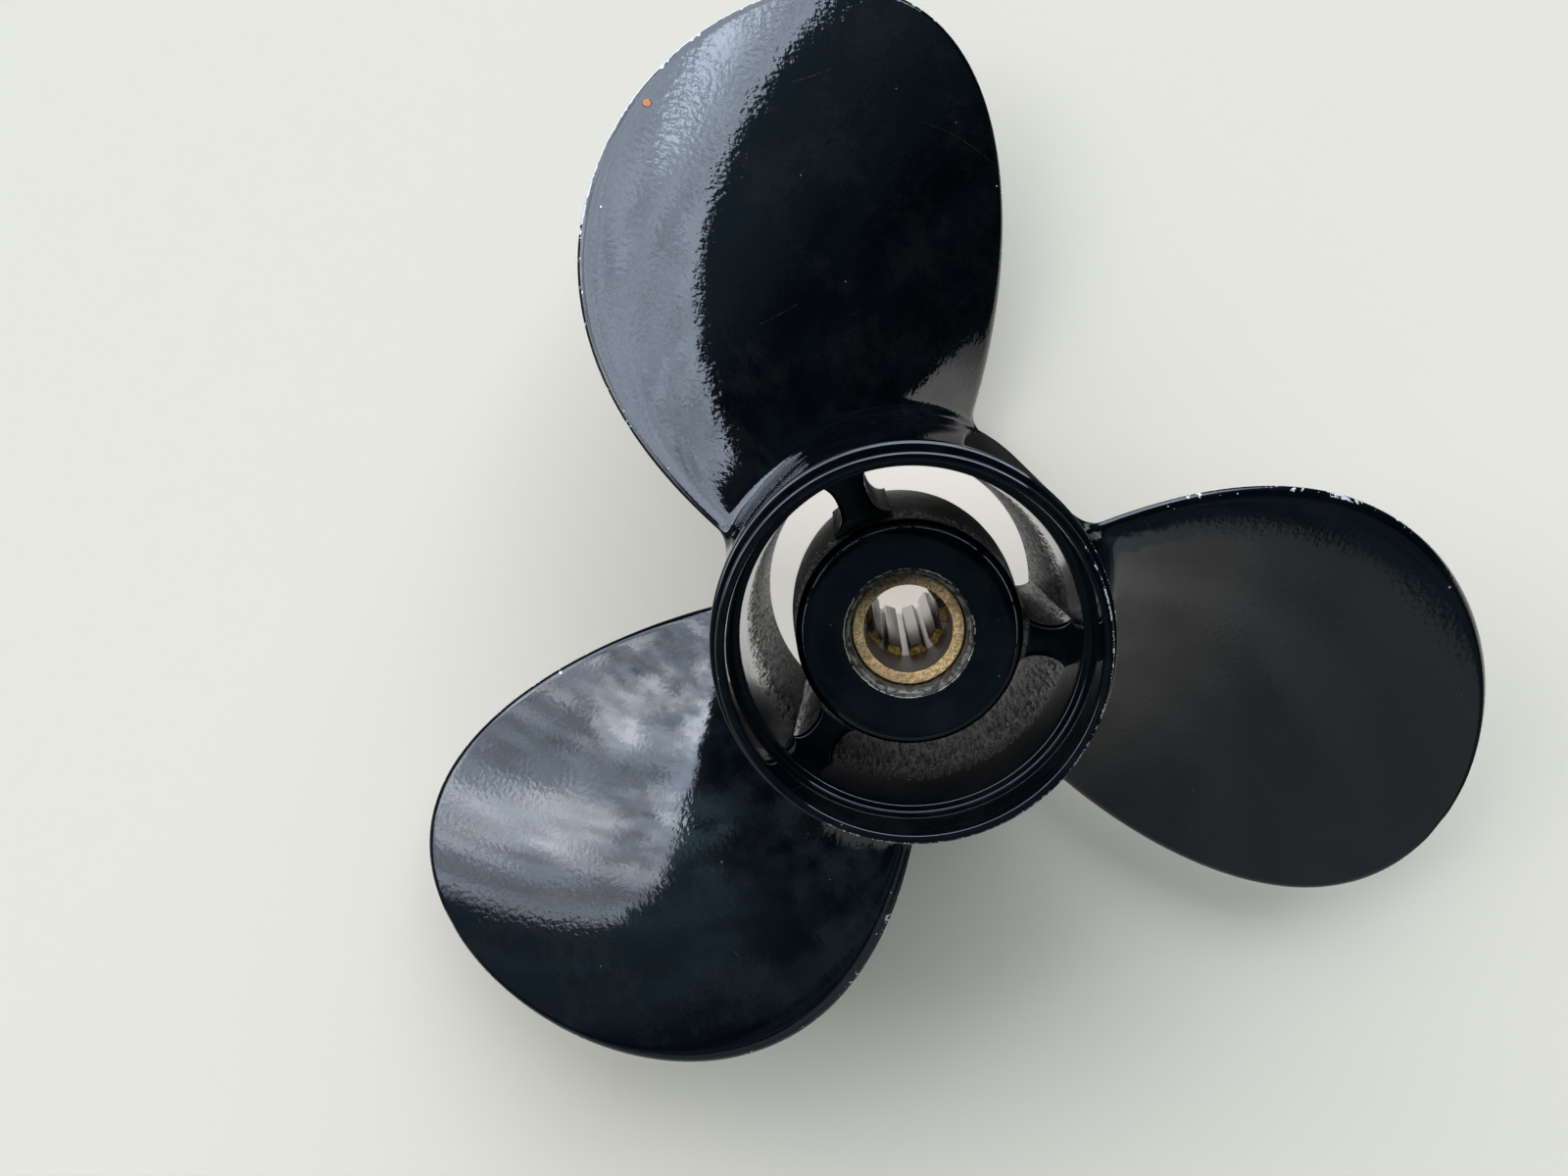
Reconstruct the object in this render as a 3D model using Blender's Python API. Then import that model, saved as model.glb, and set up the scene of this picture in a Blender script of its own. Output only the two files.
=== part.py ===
"""Three-blade outboard propeller with its exhaust led out through the hub.

The black casting is one piece: barrel, inner hub, three ribs and three blades. A rubber
bush sits in the inner hub and carries the brass splined sleeve.

Frame: metres, +Z up along the shaft from the front end to the aft end, with the origin
at the centre of the barrel's flat front face. It turns clockwise seen from the aft end.
"""

from math import atan, cos, pi, radians, sin, sqrt

import bmesh
import bpy

# Barrel: the outer tube that the blades grow from
HUB_LENGTH = 0.104
FRONT_RADIUS = 0.0400
SHOULDER_RADIUS = 0.0350
LIP_STEP = 0.0017
LIP_HEIGHT = 0.0063
LIP_WALL = 0.0016
GROOVE_WIDTH = 0.0012
GROOVE_DEPTH = 0.0005
AFT_RECESS_DEPTH = 0.0138
LEDGE_WIDTH = 0.0013
PASSAGE_DRAFT = 0.0006
FRONT_WALL = 0.0037
FRONT_RECESS_DEPTH = 0.010
FRONT_RECESS_SLOPE = 0.0025
EDGE_CHAMFER = 0.0006
BARREL_SIDES = 96

# Inner hub, which holds the bush
INNER_AFT_DROP = 0.019
INNER_FRONT_DROP = 0.004
INNER_AFT_RADIUS = 0.0205
INNER_RADIUS = 0.0235
INNER_FRONT_RADIUS = 0.0212
INNER_SWELL_DEPTH = 0.060
INNER_EDGE = 0.0015
BORE_CHAMFER = 0.0012
INNER_SIDES = 72

# Splined sleeve and rubber bush
CLEARANCE = 0.0003
TEETH = 10
SPLINE_RADIUS = 0.0082
TOOTH_HEIGHT = 0.00175
TOOTH_ROOT_WIDTH = 0.0037
TOOTH_TIP_WIDTH = 0.0026
TOOTH_TURN = radians(1.5)
SLEEVE_AFT_WALL = 0.0021
SLEEVE_WALL = 0.0037
SLEEVE_AFT_DROP = 0.005
SLEEVE_FRONT_STEP = 0.002
COUNTERBORE_DEPTH = 0.018
SPLINE_FRONT_DROP = 0.006
THRUST_CONE = 0.0016
BUSH_WALL = 0.0050
BUSH_LENGTH = 0.055
BUSH_FRONT_DROP = 0.005
SLEEVE_SIDES = 60

# Ribs between the barrel and the inner hub
RIBS = 3
RIB_WIDTH = 0.0060
RIB_FILLET = 0.0028
RIB_AFT_DROP = 0.028
RIB_FRONT_DROP = 0.016
RIB_SINK = 0.0012

# Blades
BLADES = 3
BLADE_TURN = radians(-6.0)
BLADE_RADIUS = 0.1291
PITCH = 0.3234
BLADE_DROP = 0.0481
RAKE_LINEAR = -0.019
RAKE_CURVE = -0.796
HALF_ANGLE_AT_AXIS = radians(49.8)
HALF_ANGLE_AT_TIP = radians(24.6)
TIP_ROUNDNESS = 4.69
MID_ANGLE = radians(-6.0)
SKEW = radians(-11.2)
SKEW_POWER = 3.56
ROOT_THICKNESS = 0.0085
TIP_THICKNESS = 0.0030
EDGE_THICKNESS = 0.0022
EDGE_ROUND = 0.0016
CUP = 0.0010
CUP_START = 0.80
ROOT_FILLET = 0.0060
EDGE_FILLET = 0.0040
FILLET_REACH = 0.94
ROOT_SINK = 0.0015
CHORD_STEPS = 16
SPAN_STEPS = 16
ROOT_STEPS = 5

# Sizes that follow from those above
LIP_RADIUS = SHOULDER_RADIUS - LIP_STEP
RECESS_RADIUS = LIP_RADIUS - LIP_WALL
PASSAGE_RADIUS = RECESS_RADIUS - LEDGE_WIDTH
SHOULDER_Z = HUB_LENGTH - LIP_HEIGHT
INNER_AFT_Z = HUB_LENGTH - INNER_AFT_DROP
SWELL_Z = HUB_LENGTH - INNER_SWELL_DEPTH
SLEEVE_AFT_Z = INNER_AFT_Z - SLEEVE_AFT_DROP
SLEEVE_FRONT_Z = INNER_FRONT_DROP - SLEEVE_FRONT_STEP
SLEEVE_AFT_RADIUS = SPLINE_RADIUS + SLEEVE_AFT_WALL
SLEEVE_RADIUS = SPLINE_RADIUS + SLEEVE_WALL
LAND_RADIUS = SLEEVE_AFT_RADIUS + CLEARANCE
BUSH_INSIDE = SLEEVE_RADIUS + CLEARANCE
BUSH_OUTSIDE = BUSH_INSIDE + BUSH_WALL
BUSH_BORE = BUSH_OUTSIDE + CLEARANCE
BUSH_FRONT_Z = INNER_FRONT_DROP + BUSH_FRONT_DROP
BUSH_AFT_Z = BUSH_FRONT_Z + BUSH_LENGTH
BUSH_STOP_Z = BUSH_AFT_Z + CLEARANCE

PAINT_BLACK = (0.012, 0.013, 0.016)
BRASS = (0.36, 0.26, 0.12)
RUBBER_BLACK = (0.02, 0.02, 0.02)


def material(name, colour, roughness, metallic):
    made = bpy.data.materials.new(name)
    made.use_nodes = True
    shader = made.node_tree.nodes["Principled BSDF"]
    shader.inputs["Base Color"].default_value = (*colour, 1.0)
    shader.inputs["Roughness"].default_value = roughness
    shader.inputs["Metallic"].default_value = metallic
    return made


def new_object(name, bm, look=None, helper=False):
    """Turns a bmesh into an object, with its faces pointing out."""
    bmesh.ops.recalc_face_normals(bm, faces=bm.faces)
    mesh = bpy.data.meshes.new(name)
    bm.to_mesh(mesh)
    bm.free()
    mesh.shade_smooth()
    mesh.set_sharp_from_angle(angle=radians(32))
    made = bpy.data.objects.new(name, mesh)
    bpy.context.scene.collection.objects.link(made)
    if look:
        mesh.materials.append(look)
    if helper:
        made.hide_render = True
        made.display_type = "WIRE"
    return made


def turned(name, profile, sides, **options):
    """Spins a closed outline of (radius, height) points round the Z axis."""
    bm = bmesh.new()
    points = [bm.verts.new((radius, 0.0, height)) for radius, height in profile]
    edges = [bm.edges.new((points[i - 1], points[i])) for i in range(len(points))]
    bmesh.ops.spin(
        bm,
        geom=points + edges,
        cent=(0.0, 0.0, 0.0),
        axis=(0.0, 0.0, 1.0),
        angle=2 * pi,
        steps=sides,
        use_merge=True,
    )
    return new_object(name, bm, **options)


def skinned(name, rings, **options):
    """Joins rings of equal length into one closed skin. A last ring of one point is a tip."""
    bm = bmesh.new()
    rows = [[bm.verts.new(point) for point in ring] for ring in rings]
    for low, high in zip(rows, rows[1:]):
        for i in range(len(low)):
            j = (i + 1) % len(low)
            if len(high) == 1:
                bm.faces.new((low[i], low[j], high[0]))
            else:
                bm.faces.new((low[i], low[j], high[j], high[i]))
    capped(bm, rows[0])
    if len(rows[-1]) > 1:
        capped(bm, rows[-1])
    return new_object(name, bm, **options)


def capped(bm, row):
    """Closes a long thin loop straight across, from each point to the one opposite."""
    half = len(row) // 2
    bm.faces.new((row[0], row[1], row[-1]))
    for i in range(1, half - 1):
        bm.faces.new((row[i], row[i + 1], row[-i - 1], row[-i]))
    bm.faces.new((row[half - 1], row[half], row[half + 1]))


def joined(target, helper):
    union = target.modifiers.new("with " + helper.name, "BOOLEAN")
    union.operation = "UNION"
    union.object = helper


def mix(low, high, share):
    return low + (high - low) * share


def barrel_radius(z):
    """Outside of the barrel at a height, below its shoulder."""
    return mix(FRONT_RADIUS, SHOULDER_RADIUS, min(max(z / SHOULDER_Z, 0.0), 1.0))


def passage_radius(z):
    """Outer wall of the exhaust passages, which narrows a little towards the front."""
    return PASSAGE_RADIUS - PASSAGE_DRAFT * (1.0 - z / (HUB_LENGTH - AFT_RECESS_DEPTH))


def barrel_profile():
    groove_radius = LIP_RADIUS - GROOVE_DEPTH
    groove_top = SHOULDER_Z + GROOVE_WIDTH
    recess_floor = HUB_LENGTH - AFT_RECESS_DEPTH
    throat = FRONT_RECESS_DEPTH + FRONT_RECESS_SLOPE
    front_inside = FRONT_RADIUS - FRONT_WALL
    return [
        (RECESS_RADIUS + EDGE_CHAMFER / 2, HUB_LENGTH),
        (LIP_RADIUS - EDGE_CHAMFER, HUB_LENGTH),
        (LIP_RADIUS, HUB_LENGTH - EDGE_CHAMFER),
        (LIP_RADIUS, groove_top + GROOVE_DEPTH),
        (groove_radius, groove_top),
        (groove_radius, SHOULDER_Z),
        (SHOULDER_RADIUS - EDGE_CHAMFER, SHOULDER_Z),
        (SHOULDER_RADIUS, SHOULDER_Z - EDGE_CHAMFER),
        (barrel_radius(EDGE_CHAMFER), EDGE_CHAMFER),
        (FRONT_RADIUS - EDGE_CHAMFER, 0.0),
        (front_inside + EDGE_CHAMFER, 0.0),
        (front_inside, EDGE_CHAMFER),
        (front_inside, FRONT_RECESS_DEPTH),
        (passage_radius(throat), throat),
        (PASSAGE_RADIUS, recess_floor - EDGE_CHAMFER),
        (PASSAGE_RADIUS + EDGE_CHAMFER, recess_floor),
        (RECESS_RADIUS, recess_floor),
        (RECESS_RADIUS, HUB_LENGTH - EDGE_CHAMFER),
    ]


def inner_radius(z):
    """Outside of the inner hub: it is widest part of the way down and tapers to both ends."""
    if z > SWELL_Z:
        share = (z - SWELL_Z) / (INNER_AFT_Z - INNER_EDGE - SWELL_Z)
        return mix(INNER_RADIUS, INNER_AFT_RADIUS, min(share, 1.0))
    share = (SWELL_Z - z) / (SWELL_Z - INNER_FRONT_DROP - INNER_EDGE)
    return mix(INNER_RADIUS, INNER_FRONT_RADIUS, min(share, 1.0))


def inner_profile():
    return [
        (LAND_RADIUS + BORE_CHAMFER, INNER_AFT_Z),
        (INNER_AFT_RADIUS - INNER_EDGE, INNER_AFT_Z),
        (INNER_AFT_RADIUS - INNER_EDGE * 0.3, INNER_AFT_Z - INNER_EDGE * 0.3),
        (INNER_AFT_RADIUS, INNER_AFT_Z - INNER_EDGE),
        (INNER_RADIUS, SWELL_Z),
        (INNER_FRONT_RADIUS, INNER_FRONT_DROP + INNER_EDGE),
        (INNER_FRONT_RADIUS - INNER_EDGE, INNER_FRONT_DROP),
        (BUSH_BORE + EDGE_CHAMFER, INNER_FRONT_DROP),
        (BUSH_BORE, INNER_FRONT_DROP + EDGE_CHAMFER),
        (BUSH_BORE, BUSH_STOP_Z),
        (LAND_RADIUS, BUSH_STOP_Z),
        (LAND_RADIUS, INNER_AFT_Z - BORE_CHAMFER),
    ]


def rib_rings():
    """Sections of one rib along +X, flared into both walls by its fillets."""
    levels = [RIB_FRONT_DROP, RIB_FRONT_DROP + RIB_FILLET]
    levels += [SWELL_Z, HUB_LENGTH - RIB_AFT_DROP]
    rings = []
    for level in levels:
        inside = inner_radius(level)
        outside = passage_radius(level)
        fillet = min(RIB_FILLET, (outside - inside) * 0.45)
        half = RIB_WIDTH / 2
        quarter = [pi / 2 * step / 4 for step in range(5)]
        side = [(inside - RIB_SINK, half + fillet)]
        side += [(inside + fillet * (1 - cos(t)), half + fillet * (1 - sin(t))) for t in quarter]
        side += [(outside - fillet * (1 - sin(t)), half + fillet * (1 - cos(t))) for t in quarter]
        side += [(outside + RIB_SINK, half + fillet)]
        ring = [(inside - RIB_SINK, 0.0, level)]
        ring += [(x, y, level) for x, y in side]
        ring += [(outside + RIB_SINK, 0.0, level)]
        ring += [(x, -y, level) for x, y in reversed(side)]
        rings.append(ring)
    return rings


def blade_angles(radius):
    """Middle and half of the angle that the blade spans at a radius."""
    share = min(radius / BLADE_RADIUS, 1.0)
    half = mix(HALF_ANGLE_AT_AXIS, HALF_ANGLE_AT_TIP, share)
    half *= sqrt(max(1.0 - share**TIP_ROUNDNESS, 0.0))
    return MID_ANGLE + SKEW * share**SKEW_POWER, half


def blade_face(radius, angle):
    """Height of the blade's aft face: a screw surface with a little rake."""
    out = radius - LIP_RADIUS
    rake = RAKE_LINEAR * out + RAKE_CURVE * out * out
    return HUB_LENGTH - BLADE_DROP + PITCH * angle / (2 * pi) + rake


def flare(fillet, gap):
    """How far a fillet widens the blade at a distance from the barrel, which it meets at an angle."""
    inward = min(max(fillet * FILLET_REACH - gap, 0.0), fillet)
    return fillet - sqrt(fillet**2 - inward**2)


def round_end(edge, width):
    """Rises from 0 at the blade's edge to 1 at this width, as a quarter circle does."""
    return sqrt(1 - (1 - min(edge / width, 1.0)) ** 2)


def blade_point(radius, reach, side):
    """A point of the skin: reach runs from -1 at the leading edge to 1 at the trailing edge."""
    middle, half = blade_angles(radius)
    root_z = blade_face(radius, middle + reach * half)
    gap = radius - barrel_radius(root_z)
    half += flare(EDGE_FILLET, gap) / radius
    angle = middle + reach * half
    span = (radius - SHOULDER_RADIUS) / (BLADE_RADIUS - SHOULDER_RADIUS)
    thickest = mix(ROOT_THICKNESS, TIP_THICKNESS, sqrt(min(max(span, 0.0), 1.0)))
    whole = EDGE_THICKNESS + (thickest - EDGE_THICKNESS) * (1 - reach * reach)
    edge = min((1 - abs(reach)) * half * radius, BLADE_RADIUS - radius + EDGE_ROUND * 0.2)
    if abs(reach) == 1:
        edge = 0.0
    fillet = flare(ROOT_FILLET, gap) * round_end(edge, ROOT_FILLET)
    offset = -whole / 2 + side * (whole / 2 * round_end(edge, EDGE_ROUND) + fillet)
    if reach > CUP_START:
        offset += CUP * ((reach - CUP_START) / (1 - CUP_START)) ** 2
    # the offset is square to the screw surface
    slope = atan(PITCH / (2 * pi * radius))
    turn = angle - offset * sin(slope) / radius
    z = blade_face(radius, angle) + offset * cos(slope)
    return radius * cos(turn), radius * sin(turn), z


def blade_rings():
    reaches = [cos(pi * i / CHORD_STEPS) for i in range(CHORD_STEPS + 1)]
    loop = [(reach, 1) for reach in reaches]
    loop += [(reach, -1) for reach in reversed(reaches[1:-1])]
    root_steps = [-ROOT_SINK, 0.0]
    for i in range(1, ROOT_STEPS + 1):
        root_steps.append(ROOT_FILLET * (1 - cos(pi / 2 * i / ROOT_STEPS)))
    rings = []
    for step in root_steps:
        ring = []
        for reach, side in loop:
            ring.append(blade_point(root_radius(reach) + step, reach, side))
        rings.append(ring)
    for i in range(1, SPAN_STEPS):
        share = sin(pi / 2 * i / SPAN_STEPS)
        ring = []
        for reach, side in loop:
            start = root_radius(reach) + ROOT_FILLET
            ring.append(blade_point(mix(start, BLADE_RADIUS, share), reach, side))
        rings.append(ring)
    rings.append([blade_point(BLADE_RADIUS, 0.0, 1)])
    return rings


def root_radius(reach):
    """Radius where the barrel meets this chord line of the blade."""
    middle, half = blade_angles(FRONT_RADIUS)
    return barrel_radius(blade_face(FRONT_RADIUS, middle + reach * half))


def sleeve_profile():
    step_z = BUSH_AFT_Z
    return [
        (SPLINE_RADIUS + EDGE_CHAMFER / 2, SLEEVE_AFT_Z),
        (SLEEVE_AFT_RADIUS - EDGE_CHAMFER / 2, SLEEVE_AFT_Z),
        (SLEEVE_AFT_RADIUS, SLEEVE_AFT_Z - EDGE_CHAMFER / 2),
        (SLEEVE_AFT_RADIUS, step_z),
        (SLEEVE_RADIUS, step_z),
        (SLEEVE_RADIUS, SLEEVE_FRONT_Z + EDGE_CHAMFER),
        (SLEEVE_RADIUS - EDGE_CHAMFER, SLEEVE_FRONT_Z),
        (SPLINE_RADIUS + THRUST_CONE, SLEEVE_FRONT_Z),
        (SPLINE_RADIUS, SLEEVE_FRONT_Z + THRUST_CONE * 2),
        (SPLINE_RADIUS, SLEEVE_AFT_Z - EDGE_CHAMFER / 2),
    ]


def teeth_mesh():
    """The spline's teeth as bars that start inside the sleeve's wall."""
    bm = bmesh.new()
    low = SLEEVE_FRONT_Z + SPLINE_FRONT_DROP
    high = SLEEVE_AFT_Z - COUNTERBORE_DEPTH
    tip = SPLINE_RADIUS - TOOTH_HEIGHT
    foot = SPLINE_RADIUS + SLEEVE_AFT_WALL / 3
    section = [
        (foot, -TOOTH_ROOT_WIDTH / 2),
        (foot, TOOTH_ROOT_WIDTH / 2),
        (SPLINE_RADIUS - TOOTH_HEIGHT * 0.1, TOOTH_ROOT_WIDTH / 2),
        (tip + TOOTH_HEIGHT * 0.12, TOOTH_TIP_WIDTH / 2),
        (tip, TOOTH_TIP_WIDTH * 0.36),
        (tip, -TOOTH_TIP_WIDTH * 0.36),
        (tip + TOOTH_HEIGHT * 0.12, -TOOTH_TIP_WIDTH / 2),
        (SPLINE_RADIUS - TOOTH_HEIGHT * 0.1, -TOOTH_ROOT_WIDTH / 2),
    ]
    for tooth in range(TEETH):
        turn = TOOTH_TURN + 2 * pi * tooth / TEETH
        ends = []
        for z in (low, high):
            ends.append(
                [
                    bm.verts.new((x * cos(turn) - y * sin(turn), x * sin(turn) + y * cos(turn), z))
                    for x, y in section
                ]
            )
        for i in range(len(section)):
            j = (i + 1) % len(section)
            bm.faces.new((ends[0][i], ends[0][j], ends[1][j], ends[1][i]))
        bm.faces.new(ends[0])
        bm.faces.new(ends[1])
    return bm


def bush_profile():
    return [
        (BUSH_INSIDE, BUSH_AFT_Z),
        (BUSH_OUTSIDE - EDGE_CHAMFER, BUSH_AFT_Z),
        (BUSH_OUTSIDE, BUSH_AFT_Z - EDGE_CHAMFER),
        (BUSH_OUTSIDE, BUSH_FRONT_Z + EDGE_CHAMFER),
        (BUSH_OUTSIDE - EDGE_CHAMFER, BUSH_FRONT_Z),
        (BUSH_INSIDE, BUSH_FRONT_Z),
    ]


def main():
    for old in list(bpy.data.objects):
        bpy.data.objects.remove(old)

    paint = material("black_paint", PAINT_BLACK, 0.15, 0.0)
    casting = turned("propeller_casting", barrel_profile(), BARREL_SIDES, look=paint)
    joined(casting, turned("inner_hub", inner_profile(), INNER_SIDES, helper=True))
    for i in range(RIBS):
        rib = skinned(f"rib_{i + 1}", rib_rings(), helper=True)
        rib.rotation_euler.z = BLADE_TURN + 2 * pi * i / RIBS
        joined(casting, rib)
    for i in range(BLADES):
        blade = skinned(f"blade_{i + 1}", blade_rings(), helper=True)
        blade.rotation_euler.z = BLADE_TURN + 2 * pi * i / BLADES
        joined(casting, blade)

    brass = material("brass", BRASS, 0.45, 1.0)
    sleeve = turned("splined_sleeve", sleeve_profile(), SLEEVE_SIDES, look=brass)
    joined(sleeve, new_object("spline_teeth", teeth_mesh(), helper=True))

    rubber = material("rubber", RUBBER_BLACK, 0.8, 0.0)
    turned("rubber_bush", bush_profile(), SLEEVE_SIDES, look=rubber)


main()
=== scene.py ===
"""Dresses the outboard propeller: fine meshes over its solids, their finishes, and a plain studio.

Run as a script it makes every piece in order. It is laid out as an add-on, whose panel lists the
same operators with the sizes and colours that they read. All sizes are in metres.
"""

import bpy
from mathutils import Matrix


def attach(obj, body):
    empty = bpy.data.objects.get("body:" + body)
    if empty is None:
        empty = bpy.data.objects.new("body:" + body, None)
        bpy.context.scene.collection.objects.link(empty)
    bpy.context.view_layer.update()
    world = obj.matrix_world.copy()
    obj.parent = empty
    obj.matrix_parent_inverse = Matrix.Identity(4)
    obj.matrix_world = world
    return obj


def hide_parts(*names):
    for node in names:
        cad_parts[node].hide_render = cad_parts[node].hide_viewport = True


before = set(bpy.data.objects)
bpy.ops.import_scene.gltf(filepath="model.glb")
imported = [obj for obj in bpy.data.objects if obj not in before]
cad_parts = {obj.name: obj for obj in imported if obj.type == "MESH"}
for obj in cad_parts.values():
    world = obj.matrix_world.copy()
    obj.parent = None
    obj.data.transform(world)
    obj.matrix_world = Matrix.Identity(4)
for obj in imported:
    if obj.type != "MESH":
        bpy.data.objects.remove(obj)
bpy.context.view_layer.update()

from math import ceil, hypot, radians
from types import SimpleNamespace

import bmesh
import bpy
import numpy as np
from mathutils import Vector

bl_info = {
    "name": "Outboard Propeller Dressing",
    "version": (1, 0, 0),
    "blender": (4, 5, 0),
    "location": "View3D > Sidebar > Propeller",
    "description": "Makes the fine casting, splined sleeve and bush of an outboard propeller",
    "category": "Object",
}

MM = 1000.0

# barrel, with the aft end up
HUB_LENGTH = 0.104
FRONT_RADIUS = 0.04
SHOULDER_RADIUS = 0.035
LIP_RADIUS = 0.0333
PASSAGE_RADIUS = 0.0304
SHOULDER_Z = 0.0977
GROOVE_WIDTH = 0.0012
GROOVE_DEPTH = 0.0005
RECESS_FLOOR_Z = 0.0902
PASSAGE_DRAFT = 0.0006
FRONT_INSIDE_RADIUS = 0.0363
FRONT_RECESS_DEPTH = 0.01
THROAT_Z = 0.0125
BARREL_SIDES = 264

# inner hub
INNER_AFT_Z = 0.085
INNER_FRONT_Z = 0.004
SWELL_Z = 0.044
INNER_AFT_RADIUS = 0.0205
INNER_RADIUS = 0.0235
INNER_FRONT_RADIUS = 0.0212
INNER_EDGE = 0.0015
LAND_RADIUS = 0.0106
BORE_CHAMFER = 0.0012
BUSH_BORE = 0.0175
BUSH_STOP_Z = 0.0643
INNER_SIDES = 216

# ribs between the inner hub and the barrel
RIBS = 3
RIB_WIDTH = 0.006
RIB_FILLET = 0.0028
RIB_AFT_Z = 0.076
RIB_FRONT_Z = 0.016
RIB_SINK = 0.0012

# blades
BLADES = 3
BLADE_TURN = radians(-6)
BLADE_DROP = 0.0481
RAKE_LINEAR = -0.019
RAKE_CURVE = -0.796
HALF_ANGLE_AT_AXIS = radians(49.8)
HALF_ANGLE_AT_TIP = radians(24.6)
TIP_ROUNDNESS = 4.69
MID_ANGLE = radians(-6)
SKEW = radians(-11.2)
SKEW_POWER = 3.56
ROLL_START = 0.875
TRAILING_TRIM = 0.011
FILLET_REACH = 0.97
ROOT_SINK = 0.0012
BLADE_COLUMNS = 128
BLADE_ROWS = 96
WELD_DISTANCE = 4e-7

# splined sleeve and rubber bush
TEETH = 10
SPLINE_RADIUS = 0.0082
TOOTH_HEIGHT = 0.00175
TOOTH_ROOT_WIDTH = 0.0037
TOOTH_TIP_WIDTH = 0.0026
TOOTH_TURN = radians(1.5)
TOOTH_FRONT_Z = 0.008
TOOTH_AFT_Z = 0.062
SLEEVE_AFT_RADIUS = 0.0103
SLEEVE_RADIUS = 0.0119
SLEEVE_AFT_Z = 0.08
SLEEVE_STEP_Z = 0.064
SLEEVE_FRONT_Z = 0.002
THRUST_CONE = 0.0016
SLEEVE_SIDES = 160
BUSH_INSIDE = 0.0122
BUSH_OUTSIDE = 0.0172
BUSH_FRONT_Z = 0.009
BUSH_AFT_Z = 0.064

# paint chips on the edges: x, y, z and radius in millimetres
EDGE_CHIPS = (
    (-49.1, 107.9, 49.2, 0.85), (-48, 109.2, 48.4, 0.5), (-43.5, 113.8, 45.4, 0.5),
    (-42.2, 114.9, 44.7, 0.45), (-34, 121.2, 39.8, 0.5), (-55.4, 98.5, 54.6, 0.3),
    (-61.3, 84.6, 61.6, 0.35), (-59, 78.6, 63.3, 0.2), (20.3, 88.6, 19.6, 0.25),
    (1.7, 125.3, 25, 0.5), (6.3, 122.6, 23.4, 0.5), (-78.8, -21, 18.1, 0.35),
    (-9.1, -67.2, 80.2, 0.35), (-14.2, -75.6, 76.8, 0.25), (-36, -103, 62, 0.4),
    (75, 24.8, 75.6, 0.22), (78, 24.4, 74.4, 0.2), (81.2, 24, 73.1, 0.24),
    (86.3, 22.3, 70.9, 0.22), (105.8, 5.8, 58.8, 0.25),
)
CRUMB = (-51.5, 99.9, 52.4, 0.9)
# hairline scratches seen from aft: from x, y to x, y, bend and half width in millimetres
HAIRLINES = (
    (2.5, 100.8, 19.5, 93, -1.2, 0.09), (-29.7, 56.2, -21.5, 61.3, 0.1, 0.08),
    (-24, 106.3, -15, 110.4, 0.3, 0.09), (-43.9, 88.4, -39, 92.6, 0.1, 0.08),
    (-35.3, -69.3, -32.7, -71, 0, 0.11), (-12.5, 59, -9, 60.5, 0.1, 0.08),
    (40, 22, 88, -2, 5, 0.1),
)

# camera fitted to the photograph: metres, radians and millimetres
CAMERA_PLACE = (-0.00904, 0.04028, 0.33041)
CAMERA_TURN = (-0.1301, 0.0555, 0)
CAMERA_LENS = 31.5
CAMERA_SENSOR = 36
CAMERA_NEAR = 0.01
FLOOR_REACH = 9
WALL_REACH = 8.9


# Fields: one class for the maths of both kinds of node tree


def operator_pair(operation):
    """An operator and its reflected form, each as one Math node."""

    def straight(self, other):
        return self.graph.maths(operation, self, other)

    def reflected(self, other):
        return self.graph.maths(operation, other, self)

    return straight, reflected


class Field:
    """A node's output socket. Arithmetic on it adds Math nodes to its tree."""

    __add__, __radd__ = operator_pair("ADD")
    __sub__, __rsub__ = operator_pair("SUBTRACT")
    __mul__, __rmul__ = operator_pair("MULTIPLY")
    __truediv__, __rtruediv__ = operator_pair("DIVIDE")
    __pow__, __rpow__ = operator_pair("POWER")

    def __init__(self, graph, port):
        self.graph = graph
        self.port = port

    def __abs__(self):
        return self.graph.maths("ABSOLUTE", self)


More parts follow.
